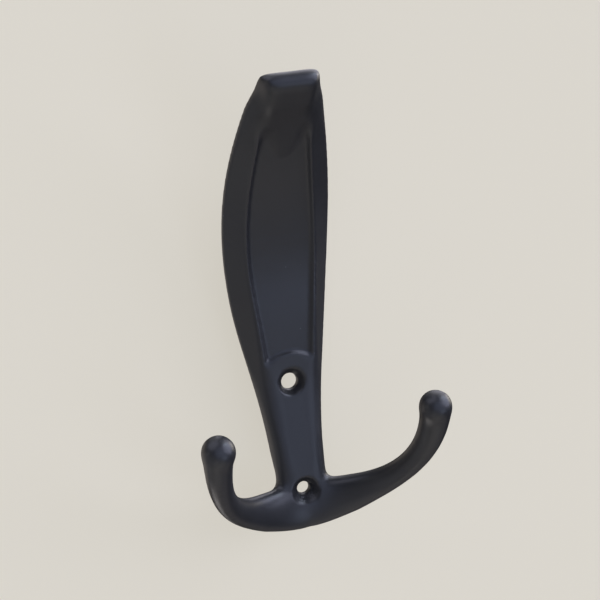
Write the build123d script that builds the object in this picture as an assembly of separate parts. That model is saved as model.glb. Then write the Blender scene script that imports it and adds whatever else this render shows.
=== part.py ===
"""Hat and coat wall hook, cast in one piece, millimetres.

The flat back lies on the wall at y = 0, up is +Z and the front faces -Y.
The casting is the same on both sides of x = 0. Heights in this file are counted
from the lower screw hole, and the finished casting is then lowered so that its
origin lies on the wall halfway between the two screws.
"""
from build123d import *
from math import atan, copysign, cos, pi, radians, sin, tan
import os

# Wall plate and its two countersunk screws
screw_spacing = 32.0
upper_hole_dia = 4.8
lower_hole_dia = 3.8
sink_dia = 7.6
sink_flare = 0.9
flare_proud = 0.2
hole_land = 2.7
back_chamfer = 0.8

# Leaning blade: its back leaves the wall at lean_start and curves forward
lean_start = 44.0
lean_radius = 66.5
tip_height = 116.4
edge_thickness = 1.5
back_edge_softness = 0.5
front_edge_softness = 0.7

# Sections up the blade: height on the back, half width at the edge,
# half width of the front face, front height above the back, corner softness
blade_sections = [
    (-6.0, 8.2, 6.2, 5.6, 2.1),
    (10.0, 7.8, 6.0, 5.2, 2.1),
    (24.0, 9.0, 7.1, 4.9, 2.1),
    (36.0, 10.8, 7.9, 5.6, 1.9),
    (48.0, 12.8, 8.5, 7.3, 1.6),
    (62.0, 14.4, 9.4, 7.2, 1.1),
    (76.0, 15.0, 9.8, 6.0, 0.8),
    (92.0, 13.9, 8.6, 4.7, 0.64),
    (105.0, 11.2, 6.8, 4.3, 0.64),
    (tip_height + 1.0, 7.6, 5.3, 4.3, 0.64),
    (tip_height + 6.0, 6.1, 4.6, 4.3, 0.64),
]

# Shallow recess in the front, at each blade section: half width, and how far its
# walls spread for each millimetre that they rise
recess_sections = [
    (6.2, 1.0),
    (6.2, 1.0),
    (6.2, 1.0),
    (6.3, 1.0),
    (7.2, 0.9),
    (8.4, 0.7),
    (9.0, 0.5),
    (7.9, 0.4),
    (6.0, 0.4),
    (4.0, 0.4),
    (3.5, 0.4),
]
recess_depth = 0.9
recess_bottom = 34.0
recess_top = tip_height - 10.5
pad_radius = 9.0

# Raised tongue at the tip: height on the back, half width, height above the face
tongue_sections = [
    (tip_height - 20.0, 1.8, -1.2),
    (tip_height - 16.5, 3.0, -0.7),
    (tip_height - 12.0, 4.6, -0.1),
    (tip_height - 7.0, 5.8, 0.8),
    (tip_height + 6.0, 7.4, 1.2),
]
tongue_softness = 1.6
tongue_foot_height = 1.0
tongue_foot_spread = 0.5
tongue_foot_softness = 0.2

# Rounded tip, seen from the side and from the front: its end slants, so that its
# front edge reaches tip_slant further than its back edge
tip_slant = 3.2
tip_front_radius = 2.2
tip_back_radius = 1.6
tip_draft = 0.3
tip_draft_length = 8.0
tip_half_width = 6.7
tip_corner_radius = 4.2
tip_taper = 20.0
tip_reach = 12.0

# Arms: path from the middle of the hub to the ball, and section half sizes
hub_centre = (0.0, -2.4, -5.1)
arm_path_bend_1 = (19.5, -2.4, -5.1)
arm_path_bend_2 = (30.6, -27.4, 5.0)
ball_centre = (29.3, -37.0, 26.6)
ball_radius = 4.5
arm_inner_side = (-0.75, 0.6, 0.0)

# Sections along the arm: share of its path, half height, half depth, and how
# square the oval is, 2 for a plain ellipse
arm_sections = [
    (0.0, 6.7, 3.1, 3.2),
    (0.22, 5.5, 3.0, 2.8),
    (0.45, 3.8, 2.6, 2.4),
    (0.65, 3.5, 2.7, 2.2),
    (0.83, 3.8, 3.1, 2.1),
    (0.97, 4.2, 3.6, 2.0),
]

# Root behind the hub that the neck and both arms grow out of:
# half outline as half width, height and corner radius, from the neck down
root_corners = [
    (7.0, 18.0, 0.5),
    (7.4, 2.0, 2.9),
    (10.2, -1.2, 5.0),
    (10.2, -11.4, 8.2),
]
root_thickness = 4.0
root_softness = 1.3

# Cutters run this far past the faces they cut, and waste blocks are this long
cut_past = 2.0
stock_length = 300.0


def back_y(height):
    """Position of the blade's back at a height on the wall."""
    rise = max(height - lean_start, 0.0)
    return -rise * rise / (2 * lean_radius)


def section_plane(height):
    """Plane square to the blade's back, its local y pointing to the front."""
    lean = atan(max(height - lean_start, 0.0) / lean_radius)
    up_the_blade = (0, -sin(lean), cos(lean))
    return Plane((0, back_y(height), height), x_dir=(-1, 0, 0), z_dir=up_the_blade)


def face_height(height):
    """Height of the front face above the back, between the nearest sections."""
    below = [section for section in blade_sections[:-1] if section[0] <= height]
    lower = below[-1]
    upper = blade_sections[len(below)]
    share = min((height - lower[0]) / (upper[0] - lower[0]), 1.0)
    return lower[3] + (upper[3] - lower[3]) * share


def soft_outline(plane, corners):
    """Closed wire through corners (x, y, radius), each corner rounded."""
    count = len(corners)
    points = [Vector(corner[0], corner[1]) for corner in corners]
    starts, mids, ends = [], [], []
    for i in range(count):
        before = (points[i - 1] - points[i]).normalized()
        after = (points[(i + 1) % count] - points[i]).normalized()
        half_angle = radians(before.get_angle(after)) / 2
        radius = corners[i][2]
        reach = radius * cos(half_angle) / sin(half_angle)
        bisector = (before + after).normalized()
        starts.append(points[i] + before * reach)
        mids.append(points[i] + bisector * (radius / sin(half_angle) - radius))
        ends.append(points[i] + after * reach)
    edges = []
    for i in range(count):
        edges.append(Edge.make_three_point_arc(starts[i], mids[i], ends[i]))
        edges.append(Edge.make_line(ends[i], starts[(i + 1) % count]))
    return Wire([plane.from_local_coords(edge) for edge in edges])


def waste_block(plane, height=stock_length):
    """Block of waste that stands on a plane, centred on it and wider than the casting."""
    corner = plane.origin - (plane.x_dir + plane.y_dir) * (stock_length / 2)
    corner_plane = Plane(corner, x_dir=plane.x_dir, z_dir=plane.z_dir)
    return Solid.make_box(stock_length, stock_length, height, corner_plane)


def blade():
    """Plate, neck and leaning blade in one smooth body."""
    wires = []
    for height, half_width, half_face, front, softness in blade_sections:
        wires.append(soft_outline(section_plane(height), [
            (-half_width, 0, back_edge_softness),
            (half_width, 0, back_edge_softness),
            (half_width, edge_thickness, front_edge_softness),
            (half_face, front, softness),
            (-half_face, front, softness),
            (-half_width, edge_thickness, front_edge_softness),
        ]))
    return Solid.make_loft(wires)


def tongue():
    """Raised tongue that hangs from the tip into the recess."""
    wires = []
    for height, half_width, above_face in tongue_sections:
        top = face_height(height) + above_face
        half_foot = half_width + tongue_foot_spread
        wires.append(soft_outline(section_plane(height), [
            (-half_foot, tongue_foot_height, tongue_foot_softness),
            (half_foot, tongue_foot_height, tongue_foot_softness),
            (half_width, top, tongue_softness),
            (-half_width, top, tongue_softness),
        ]))
    return Solid.make_loft(wires)


def recess():
    """Cutter for the shallow recess above the screw pad, its walls steeper higher up."""
    wires = []
    for section, (half_width, wall_spread) in zip(blade_sections, recess_sections):
        floor = section[3] - recess_depth
        top = section[3] + cut_past
        half_floor = half_width - wall_spread * recess_depth / 2
        half_top = half_floor + wall_spread * (top - floor)
        plane = section_plane(section[0])
        outline = [(-half_floor, floor), (half_floor, floor), (half_top, top), (-half_top, top)]
        corners = [plane.from_local_coords(Vector(x, y, 0)) for x, y in outline]
        wires.append(Wire.make_polygon(corners, close=True))
    cutter = Solid.make_loft(wires)
    below = waste_block(Plane((0, 0, recess_bottom - stock_length)))
    over = waste_block(section_plane(recess_top))
    return cutter.cut(below).cut(over).cut(screw_pad())


def screw_pad():
    """Low cone round the upper screw that the recess goes around."""
    face = face_height(screw_spacing + pad_radius) - recess_depth / 2
    wall_plane = Plane((0, 0, screw_spacing), z_dir=(0, -1, 0))
    return Solid.make_cone(pad_radius + face, pad_radius - cut_past, face + cut_past, wall_plane)


def tip_waste():
    """What is cut away round the soft end of the blade: over its front and its corners."""
    plane = section_plane(tip_height)
    block = waste_block(plane.offset(-tip_reach))
    thick = face_height(tip_height) + tongue_sections[-1][2]
    below = 2 * tip_reach
    side_plane = Plane(plane.origin, x_dir=plane.y_dir, z_dir=plane.x_dir)
    side = Face(soft_outline(side_plane, [
        (0, 0, tip_back_radius),
        (-tip_draft, -below, tip_back_radius),
        (thick + tip_draft_length, -below, tip_back_radius),
        (thick + tip_draft, -tip_draft_length, tip_back_radius),
        (thick, tip_slant, tip_front_radius),
    ]))
    front_plane = Plane(plane.origin, x_dir=plane.x_dir, z_dir=plane.y_dir)
    spread = tip_half_width + below * tan(radians(tip_taper))
    front = Face(soft_outline(front_plane, [
        (tip_half_width, -tip_slant, tip_corner_radius),
        (spread, below, tip_corner_radius),
        (-spread, below, tip_corner_radius),
        (-tip_half_width, -tip_slant, tip_corner_radius),
    ]))
    kept = []
    for outline, across in ((side, plane.x_dir), (front, plane.y_dir)):
        bar = Solid.extrude(outline, across * stock_length)
        kept.append(bar.moved(Location(across * (-stock_length / 2))))
    return block.cut(kept[0]), block.cut(kept[1])


def screw_hole(height, hole_dia):
    """Cutter for one countersunk screw hole, flared softly onto the front."""
    face = face_height(height)
    hole_radius = hole_dia / 2
    sink_radius = sink_dia / 2
    wall_side = (hole_radius + back_chamfer + cut_past, cut_past)
    land_start = (hole_radius, -back_chamfer)
    land_end = (hole_radius, -hole_land)
    cone_end = (sink_radius, -face + sink_flare / 2)
    rim = (sink_radius + sink_flare, -face - flare_proud)
    rim_middle = (0, rim[1] - cut_past)
    cone_direction = Vector(*cone_end) - Vector(*land_end)
    edges = [
        Edge.make_line((0, cut_past), wall_side),
        Edge.make_line(wall_side, land_start),
        Edge.make_line(land_start, land_end),
        Edge.make_line(land_end, cone_end),
        Edge.make_tangent_arc(cone_end, cone_direction, rim),
        Edge.make_line(rim, rim_middle),
        Edge.make_line(rim_middle, (0, cut_past)),
    ]
    profile = Face(Wire(edges)).moved(Location((0, 0, height)))
    return Solid.revolve(profile, 360, Axis((0, 0, height), (0, 1, 0)))


def soft_oval(plane, half_height, half_depth, squareness):
    """Closed oval of four curves that meet between its axes."""
    steps_a_quarter = 4
    quarters = []
    for quarter in range(4):
        points = []
        for step in range(steps_a_quarter + 1):
            angle = pi / 2 * (quarter + 0.5 + step / steps_a_quarter)
            x = copysign(abs(cos(angle)) ** (2 / squareness), cos(angle))
            y = copysign(abs(sin(angle)) ** (2 / squareness), sin(angle))
            points.append(plane.from_local_coords(Vector(half_height * x, half_depth * y, 0)))
        quarters.append(Edge.make_spline(points))
    return Wire(quarters)


def arm():
    """The +X arm from the middle of the hub to its ball."""
    path = Edge.make_bezier(hub_centre, arm_path_bend_1, arm_path_bend_2, ball_centre)
    wires = []
    for share, half_height, half_depth, squareness in arm_sections:
        along = path.tangent_at(share)
        turn = share * share
        height_axis = Vector(0, 0, 1) * (1 - turn) + Vector(*arm_inner_side) * turn
        height_axis = (height_axis - along * height_axis.dot(along)).normalized()
        plane = Plane(path.position_at(share), x_dir=-height_axis, z_dir=along)
        wires.append(soft_oval(plane, half_height, half_depth, squareness))
    return Solid.make_loft(wires)


def root():
    """Root plate with hollow-curved corners between the neck and the arms."""
    left_corners = [(-x, z, radius) for x, z, radius in reversed(root_corners)]
    outline = soft_outline(Plane.XZ, root_corners + left_corners)
    plate = Solid.extrude(Face(outline), Vector(0, -root_thickness, 0))
    front_face = plate.faces().sort_by(Axis.Y)[0]
    return plate.fillet(root_softness, front_face.edges())


def hook():
    """The whole casting."""
    stem = arm()
    ball = Solid.make_sphere(ball_radius, Plane(ball_centre))
    body = blade().fuse(stem).fuse(stem.mirror(Plane.YZ)).fuse(root())
    body = body.fuse(ball).fuse(ball.mirror(Plane.YZ))
    body = body.cut(recess()).fuse(tongue())
    for waste in tip_waste():
        body = body.cut(waste)
    body = body.cut(screw_hole(screw_spacing, upper_hole_dia))
    body = body.cut(screw_hole(0, lower_hole_dia))
    body = body.cut(waste_block(Plane((0, 0, 0), x_dir=(1, 0, 0), z_dir=(0, 1, 0))))
    return body.moved(Location((0, 0, -screw_spacing / 2)))


os.makedirs("parts", exist_ok=True)
export_step(hook(), "parts/hook_casting.step")
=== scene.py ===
"""Hat and coat wall hook: one zinc die casting in satin black stoved paint, on a pale ground."""

from math import cos, radians, sin

import bpy
import numpy as np
from mathutils import Matrix, Vector

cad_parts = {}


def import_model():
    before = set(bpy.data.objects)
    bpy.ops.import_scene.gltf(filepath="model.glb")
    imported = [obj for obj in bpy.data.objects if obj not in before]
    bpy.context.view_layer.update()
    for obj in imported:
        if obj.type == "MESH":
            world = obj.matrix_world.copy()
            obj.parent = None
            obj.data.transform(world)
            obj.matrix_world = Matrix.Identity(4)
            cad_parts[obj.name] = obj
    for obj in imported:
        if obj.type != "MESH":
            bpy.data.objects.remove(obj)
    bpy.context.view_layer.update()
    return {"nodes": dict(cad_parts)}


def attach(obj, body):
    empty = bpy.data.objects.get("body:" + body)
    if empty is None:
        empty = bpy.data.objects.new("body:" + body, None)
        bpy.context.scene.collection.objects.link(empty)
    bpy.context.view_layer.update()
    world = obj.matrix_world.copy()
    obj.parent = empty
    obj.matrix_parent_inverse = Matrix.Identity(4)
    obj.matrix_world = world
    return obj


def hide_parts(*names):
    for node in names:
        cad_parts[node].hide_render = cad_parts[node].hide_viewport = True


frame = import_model()
mm = 0.001

# Viewpoint of the photograph: the camera stands to the left of the hook and a little above it
camera_turn = radians(15.81)
camera_height = radians(10.0)
camera_roll = radians(7.3)
camera_distance = 300.0 * mm
camera_aim = Vector((0.0, 0.0, 24.0)) * mm
camera_shift = Vector((-4.78, -14.88)) * mm
camera_lens = 63.1

# Studio lamps: name, azimuth, height, spread in degrees, strength, colour
studio_lamps = [
    ("window_right", 67, 24, 64, 3.0, "#dce1ff"),
    ("high_left", -80, 64, 64, 1.18, "#e6e8ff"),
    ("rim_right", 130, 36, 64, 1.35, "#f4f2ff"),
    ("front", 0, 11, 64, 0.85, "#ccd8ff"),
    ("ground_front", -17, -59, 64, 0.42, "#fffaf4"),
    ("side_right", 112, 8, 30, 0.60, "#fff6e4"),
    ("high_right", 78, 44, 26, 0.37, "#dff7ff"),
    ("high_rear", 163, 48, 64, 0.36, "#fffdff"),
    ("ground_near", 28, -24, 26, 0.33, "#d0deff"),
    ("low_left", -57, -30, 64, 0.28, "#f7f7ff"),
    ("ground_left", -110, -26, 64, 0.26, "#f9f8ff"),
    ("ground_rear", -154, -56, 26, 0.23, "#fff9f6"),
    ("ground_right", 88, -81, 64, 0.22, "#fff7f7"),
    ("rear_left", -140, -4, 64, 0.50, "#fff2e6"),
    ("side_left", -85, 8, 26, 0.14, "#fffffc"),
]

# Pale ground of the photograph: a board a little behind the wall plane
pale_ground = "#ddd8cc"
board_half_width = 1.5
board_behind = 9.0 * mm
board_lit_share = 0.25

# Paint, in mm
cloud_width = 9.0
dust_spacing = 5.0
peel_crest = 1.4
peel_depth = 0.02
grit_grain = 0.7
grit_depth = 0.35
grit_reach = (3.0, 4.2)

# Shape of the casting, in mm: the blade's back bends forward above lean_start
lean_start = 28.0
lean_radius = 66.5
lower_screw, upper_screw = -16.0, 16.0
crisp_rim = (4.4, 5.4)

# Generous corners, the same on both sides: place in mm, reach in mm and softness
soft_corners = [
    ((9.1, -2.5, -13.6), 11.0, 1.0),  # crotch between neck and arm
    ((29.8, -34.6, 6.4), 10.0, 0.35),  # arm under its ball
    ((8.5, -5.0, -21.0), 11.0, 1.0),  # side of the hub
]

# Generous zones: softness, and the spans in mm over which it fades in
soft_zones = [
    # Sides of the neck
    (1.0, [("across", 3.0, 5.5), ("depth", -1.0, -2.5), ("height", -30.0, -20.0),
           ("height", 26.0, 14.0)]),
    # Tongue that hangs from the tip
    (0.3, [("height", 79.0, 84.0), ("across", 7.0, 4.5), ("proud", 2.0, 3.0)]),
    # Front of the blade's end, and the tip all round
    (1.0, [("height", 82.0, 90.0), ("proud", 1.0, 2.6)]),
    (1.0, [("height", 93.0, 98.0)]),
]

# Skin: spacing of its points in mm, then how far and how often each place is rounded off
skin_grid = 0.385
corner_pull, corner_rounds = 0.6, 110
tip_pull, tip_rounds = 0.6, 20
tip_end = (92.0, 98.0)
coat_pull, coat_rounds = 0.5, 3


def linear(hex_colour):
    """Linear colour of an sRGB hex value."""
    channels = [int(hex_colour[i:i + 2], 16) / 255 for i in (1, 3, 5)]
    return [c / 12.92 if c <= 0.04045 else ((c + 0.055) / 1.055) ** 2.4 for c in channels] + [1.0]


def add(tree, kind, links=None, **settings):
    """One node with its settings. A link's value is the socket that feeds the input."""
    node = tree.nodes.new(kind)
    for name, value in settings.items():
        if hasattr(node, name):
            setattr(node, name, value)
        else:
            node.inputs[name.replace("_", " ")].default_value = value
    for name, source in (links or {}).items():
        tree.links.new(source, node.inputs[name])
    return node


def fade(values, start, end):
    """0 up to the start, 1 from the end on, smooth between them."""
    share = np.clip((values - start) / (end - start), 0, 1)
    return share * share * (3 - 2 * share)


def nearness(points, centre, reach):
    """1 at a place and its mirror image, falling smoothly to 0 at a reach in mm."""
    sided = points.copy()
    sided[:, 0] = np.abs(sided[:, 0])
    away = np.linalg.norm(sided - np.array(centre), axis=1) / reach
    inside = np.clip(1 - away, 0, 1)
    return inside * inside * (3 - 2 * inside)


def relax(points, edges, weight, rounds):
    """Rounds the skin off as sand and paint do: each point moves towards its neighbours."""
    count = np.bincount(edges.ravel(), minlength=len(points))[:, None]
    for _ in range(rounds):
        total = np.zeros_like(points)
        for axis in range(3):
            total[:, axis] += np.bincount(edges[:, 0], points[edges[:, 1], axis], len(points))
            total[:, axis] += np.bincount(edges[:, 1], points[edges[:, 0], axis], len(points))
        points = points + (total / count - points) * weight[:, None]
    return points


def round_off(points, edges, weight, rounds):
    """Relaxes the corners, then gives back what the broad forms lost, so nothing gets thinner."""
    relaxed = relax(points, edges, weight, rounds)
    return relaxed + relax(points - relaxed, edges, weight, rounds)


def above_back(points):
    """How far each point stands in front of the blade's back, in mm."""
    rise = np.maximum(points[:, 2] - lean_start, 0)
    back = -rise * rise / (2 * lean_radius)
    return (back - points[:, 1]) / np.hypot(1, rise / lean_radius)


def cast_softness(points):
    """Where the casting's corners are generous, from 0 to 1. The screw holes stay crisp."""
    across, depth, height = np.abs(points[:, 0]), points[:, 1], points[:, 2]
    measures = {"across": across, "depth": depth, "height": height, "proud": above_back(points)}
    soft = np.zeros(len(points))
    for centre, reach, share in soft_corners:
        soft = np.maximum(soft, share * np.minimum(2 * nearness(points, centre, reach), 1))
    for share, spans in soft_zones:
        zone = np.full(len(points), share)
        for measure, start, end in spans:
            zone = zone * fade(measures[measure], start, end)
        soft = np.maximum(soft, zone)
    for screw in (lower_screw, upper_screw):
        soft = soft * fade(np.hypot(across, height - screw), *crisp_rim)
    return soft


def hook_skin(solid):
    """The casting with the rounded edges and hollows that the mould and the paint give it."""
    rough = bpy.data.objects.new("rough_hook", solid.data.copy())
    bpy.context.scene.collection.objects.link(rough)
    rough.data.transform(Matrix.Scale(1 / mm, 4))
    remesh = rough.modifiers.new("skin", "REMESH")
    remesh.mode = "VOXEL"
    remesh.voxel_size = skin_grid
    shapes = bpy.context.evaluated_depsgraph_get()
    mesh = bpy.data.meshes.new_from_object(rough.evaluated_get(shapes))
    bpy.data.objects.remove(rough)

    points = np.empty(len(mesh.vertices) * 3)
    mesh.vertices.foreach_get("co", points)
    points = points.reshape(-1, 3)
    edges = np.empty(len(mesh.edges) * 2, dtype=np.int32)
    mesh.edges.foreach_get("vertices", edges)
    edges = edges.reshape(-1, 2)

    points = round_off(points, edges, corner_pull * cast_softness(points), corner_rounds)
    points = relax(points, edges, tip_pull * fade(points[:, 2], *tip_end), tip_rounds)
    points = round_off(points, edges, np.full(len(points), coat_pull), coat_rounds)
    # Nothing reaches behind the wall plane
    points[:, 1] = np.minimum(points[:, 1], 0)

    mesh.vertices.foreach_set("co", points.ravel() * mm)
    mesh.polygons.foreach_set("use_smooth", np.ones(len(mesh.polygons), dtype=bool))
    mesh.update()
    hook = bpy.data.objects.new("painted_hook", mesh)
    bpy.context.scene.collection.objects.link(hook)
    return hook


def black_paint():
    """Black stoved paint, satin, sprayed over a zinc die casting.

    The eye sees a soft broad sheen with a faint orange peel, slight clouds where the coat
    is thicker, a little dust baked into it, and bare grit in the lower screw's countersink,
    where the spray hardly reached.
    """
    material = bpy.data.materials.new("satin_black_stoved_paint")
    material.use_nodes = True
    tree = material.node_tree
    tree.nodes.clear()
    place = add(tree, "ShaderNodeTexCoord").outputs["Object"]

    # Clouds of thicker and thinner paint
    cloud = add(tree, "ShaderNodeTexNoise", {"Vector": place}, Scale=1 / (cloud_width * mm),
                Detail=4.0)
    coat = add(tree, "ShaderNodeMix", {"Factor": cloud.outputs["Fac"]}, data_type="RGBA")
    coat.inputs["A"].default_value = linear("#252526")
    coat.inputs["B"].default_value = linear("#2b2b2c")
    sheen = add(tree, "ShaderNodeMapRange", {"Value": cloud.outputs["Fac"]}, To_Min=0.34,
                To_Max=0.42)

    # Dust: one fleck in each 5 mm or so where the clouds are thick. Real flecks are under
    # 0.1 mm and too fine to show, so these are drawn 0.3 mm across
    fleck = add(tree, "ShaderNodeTexVoronoi", {"Vector": place}, Scale=1 / (dust_spacing * mm))
    dust = add(tree, "ShaderNodeMapRange", {"Value": fleck.outputs["Distance"]}, From_Min=0.02,
               From_Max=0.045, To_Min=1.0, To_Max=0.0)
    thick = add(tree, "ShaderNodeMapRange", {"Value": cloud.outputs["Fac"]}, From_Min=0.50,
                From_Max=0.56)
    shown = add(tree, "ShaderNodeMath", {0: dust.outputs[0], 1: thick.outputs[0]},
                operation="MULTIPLY")
    dusty = add(tree, "ShaderNodeMix", {"Factor": shown.outputs[0]}, data_type="RGBA")
    tree.links.new(coat.outputs["Result"], dusty.inputs["A"])
    dusty.inputs["B"].default_value = linear("#5c5c60")

    # Orange peel
    peel = add(tree, "ShaderNodeTexNoise", {"Vector": place}, Scale=1 / (peel_crest * mm),
               Detail=2.0)
    skin = add(tree, "ShaderNodeBump", {"Height": peel.outputs["Fac"]}, Strength=0.25,
               Distance=peel_depth * mm)

    # Grit in the lower countersink, which fades out at its rim
    from_axis = add(tree, "ShaderNodeVectorMath", {0: place}, operation="MULTIPLY_ADD")
    from_axis.inputs[1].default_value = (1, 0, 1)
    from_axis.inputs[2].default_value = (0, 0, -lower_screw * mm)
    radius = add(tree, "ShaderNodeVectorMath", {0: from_axis.outputs[0]}, operation="LENGTH")
    inside = add(tree, "ShaderNodeMapRange", {"Value": radius.outputs["Value"]},
                 From_Min=grit_reach[0] * mm, From_Max=grit_reach[1] * mm, To_Min=0.7, To_Max=0.0)
    grit = add(tree, "ShaderNodeTexNoise", {"Vector": place}, Scale=1 / (grit_grain * mm),
               Detail=1.0)
    grain = add(tree, "ShaderNodeBump", {
        "Height": grit.outputs["Fac"],
        "Strength": inside.outputs[0],
        "Normal": skin.outputs["Normal"],
    }, Distance=grit_depth * mm)

    paint = add(tree, "ShaderNodeBsdfPrincipled", {
        "Base Color": dusty.outputs["Result"],
        "Roughness": sheen.outputs[0],
        "Normal": grain.outputs["Normal"],
    }, IOR=1.5)
    add(tree, "ShaderNodeOutputMaterial", {"Surface": paint.outputs["BSDF"]})
    return material


def backdrop():
    """Plain pale board behind the hook that keeps its faint shadow and is clear from behind."""
    half, back = board_half_width, board_behind
    corners = [(-half, back, -half), (half, back, -half), (half, back, half), (-half, back, half)]
    mesh = bpy.data.meshes.new("pale_board")
    mesh.from_pydata(corners, [], [(0, 1, 2, 3)])
    board = bpy.data.objects.new("pale_board", mesh)
    board.visible_diffuse = board.visible_glossy = board.visible_shadow = False
    bpy.context.scene.collection.objects.link(board)

    material = bpy.data.materials.new("pale_board")
    material.use_nodes = True
    tree = material.node_tree
    tree.nodes.clear()
    glow = add(tree, "ShaderNodeEmission", Color=linear(pale_ground), Strength=1.0)
    chalk = add(tree, "ShaderNodeBsdfDiffuse", Color=linear("#fcf4dd"))
    lit = add(tree, "ShaderNodeMixShader", {1: glow.outputs[0], 2: chalk.outputs[0]})
    lit.inputs[0].default_value = board_lit_share
    clear = add(tree, "ShaderNodeBsdfTransparent")
    rear = add(tree, "ShaderNodeNewGeometry").outputs["Backfacing"]
    seen = add(tree, "ShaderNodeMixShader", {0: rear, 1: lit.outputs[0], 2: clear.outputs[0]})
    add(tree, "ShaderNodeOutputMaterial", {"Surface": seen.outputs[0]})
    mesh.materials.append(material)


def world():
    """Dim room light. The camera sees the pale colour of the photograph's ground."""
    room = bpy.data.worlds.new("room")
    bpy.context.scene.world = room
    room.use_nodes = True
    tree = room.node_tree
    tree.nodes.clear()
    ray = add(tree, "ShaderNodeLightPath")
    pale = add(tree, "ShaderNodeBackground", Color=linear(pale_ground), Strength=1.0)
    dim = add(tree, "ShaderNodeBackground", Color=linear("#fff4e0"), Strength=0.02)
    seen = add(tree, "ShaderNodeMixShader", {
        0: ray.outputs["Is Camera Ray"],
        1: dim.outputs[0],
        2: pale.outputs[0],
    })
    add(tree, "ShaderNodeOutputWorld", {"Surface": seen.outputs[0]})


def lamp(name, azimuth, height, spread, strength, colour):
    """Soft distant lamp, spread wide. Azimuth 0 is in front of the hook and 90 to its right."""
    light = bpy.data.lights.new(name, "SUN")
    light.angle = radians(spread)
    light.energy = strength
    light.color = linear(colour)[:3]
    holder = bpy.data.objects.new(name, light)
    a, h = radians(azimuth), radians(height)
    towards = Vector((sin(a) * cos(h), -cos(a) * cos(h), sin(h)))
    holder.rotation_mode = "QUATERNION"
    holder.rotation_quaternion = towards.to_track_quat("Z", "Y")
    bpy.context.scene.collection.objects.link(holder)


def camera():
    """Camera at the photograph's viewpoint."""
    turn, height, roll = camera_turn, camera_height, camera_roll
    right = Vector((cos(turn), -sin(turn), 0))
    ahead = Vector((sin(turn) * cos(height), cos(turn) * cos(height), -sin(height)))
    up = right.cross(ahead)
    rolled_right = right * cos(roll) - up * sin(roll)
    rolled_up = right * sin(roll) + up * cos(roll)
    place = camera_aim - rolled_right * camera_shift.x - rolled_up * camera_shift.y
    place -= ahead * camera_distance
    data = bpy.data.cameras.new("camera")
    data.sensor_width = 36
    data.lens = camera_lens
    data.clip_start = 10.0 * mm
    holder = bpy.data.objects.new("camera", data)
    axes = Matrix((rolled_right, rolled_up, -ahead)).transposed().to_4x4()
    holder.matrix_world = Matrix.Translation(place) @ axes
    bpy.context.scene.collection.objects.link(holder)
    bpy.context.scene.camera = holder


bpy.context.scene.view_settings.view_transform = "Standard"
camera()
world()
backdrop()
for lamp_facts in studio_lamps:
    lamp(*lamp_facts)

hook = hook_skin(frame["nodes"]["hook_casting"])
hook.data.materials.clear()
hook.data.materials.append(black_paint())
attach(hook, "root")
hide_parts("hook_casting")
